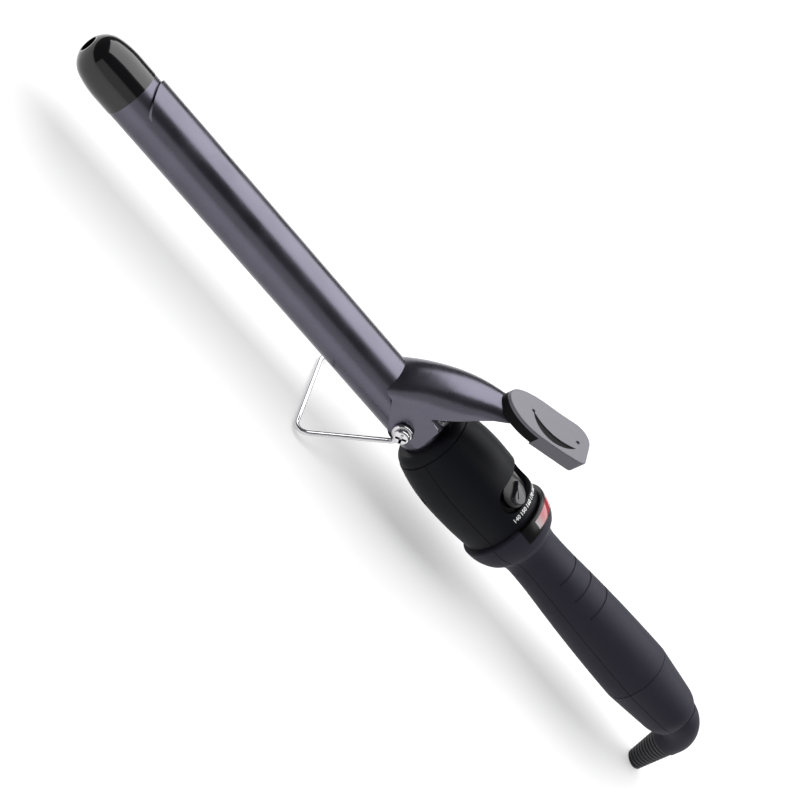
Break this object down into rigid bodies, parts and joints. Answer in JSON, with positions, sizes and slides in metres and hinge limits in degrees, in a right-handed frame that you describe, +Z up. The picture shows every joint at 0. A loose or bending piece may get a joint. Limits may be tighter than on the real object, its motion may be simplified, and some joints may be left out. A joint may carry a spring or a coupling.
{
  "type": "curling iron",
  "caption": "Hand-held curling iron with a sprung clamp along a round heated barrel, a folding wire stand, a sliding temperature control and a swivel cord outlet.",
  "frame": {"origin": "on the surface the iron stands on, under the middle of its bounding box", "axes": "+X from the tip to the cord end along the barrel, +Z up on the side of the lever, +Y across"},
  "size_m": [0.3926, 0.0498, 0.0814],
  "materials": {
    "barrel_metal": "satin",
    "clamp_metal": "satin",
    "tip_black": "gloss",
    "housing_black": "satin",
    "grip_soft": "soft-touch",
    "pad_grey": "satin",
    "base_black": "satin",
    "chrome": "polished",
    "steel": "plain",
    "window_black": "gloss",
    "lens_red": "clear gloss",
    "slider_black": "satin",
    "knob_black": "satin",
    "lamp_red": "clear",
    "relief_rubber": "matte",
    "contact_brass": "plain",
    "board_green": "satin",
    "board_part": "satin",
    "heater_white": "fired",
    "spreader_metal": "plain",
    "block_metal": "plain",
    "inner_plastic": "plain",
    "wire_insulation": "plain"
  },
  "bodies": {
    "root": {"barrel": "barrel_metal", "tip_cap": "tip_black", "tip_anchor": "block_metal", "tip_screw": "steel", "heater_plate": "heater_white", "heat_spreaders": "spreader_metal", "thermistor": "heater_white", "thermal_fuse": "steel", "hinge_block": "block_metal", "hinge_screws": "chrome", "hinge_washers": "chrome", "clamp_spring": "chrome", "front_collar": "housing_black", "housing_upper": "housing_black", "housing_lower": "housing_black", "housing_screws": "steel", "dial_carrier": "inner_plastic", "track_board": "board_green", "grip_upper": "grip_soft", "grip_lower": "grip_soft", "grip_screws": "steel", "lens_frame": "window_black", "indicator_lens": "lens_red", "indicator_led": "lamp_red", "circuit_board": "board_green", "board_parts": "board_part", "heater_leads": "wire_insulation", "supply_wires": "wire_insulation", "end_cap_upper": "grip_soft", "end_cap_lower": "grip_soft", "brush_board": "board_green", "contact_brushes": "contact_brass"},
    "clamp": {"clamp": "clamp_metal", "spring_cup": "inner_plastic", "thumb_pad": "pad_grey", "pad_base": "base_black", "pad_inlay": "base_black", "pad_screw": "steel"},
    "stand": {"stand_wire": "chrome"},
    "slider": {"temperature_ring": "slider_black", "temperature_knob": "knob_black", "wiper_contact": "contact_brass"},
    "swivel": {"swivel_head": "grip_soft", "slip_rings": "contact_brass", "strain_relief": "relief_rubber"}
  },
  "joints": [
    {"name": "clamp_hinge", "type": "hinge", "parent": "root", "child": "clamp", "pos_m": [-0.005, 0, 0.0301], "axis": [0, 1, 0], "range_deg": [0, 20], "stiffness_Nm_per_rad": 0.3, "springref_deg": -8.59, "deforming": ["clamp_spring"]},
    {"name": "stand_hinge", "type": "hinge", "parent": "root", "child": "stand", "pos_m": [-0.005, 0, 0.0301], "axis": [0, 1, 0], "range_deg": [-98, 24]},
    {"name": "temperature_slide", "type": "hinge", "parent": "root", "child": "slider", "pos_m": [0.044, 0, 0.0301], "axis": [1, 0, 0], "range_deg": [-51, 10]},
    {"name": "cord_swivel", "type": "hinge", "parent": "root", "child": "swivel", "pos_m": [0.1786, 0, 0.0301], "axis": [1, 0, 0], "continuous": true}
  ]
}
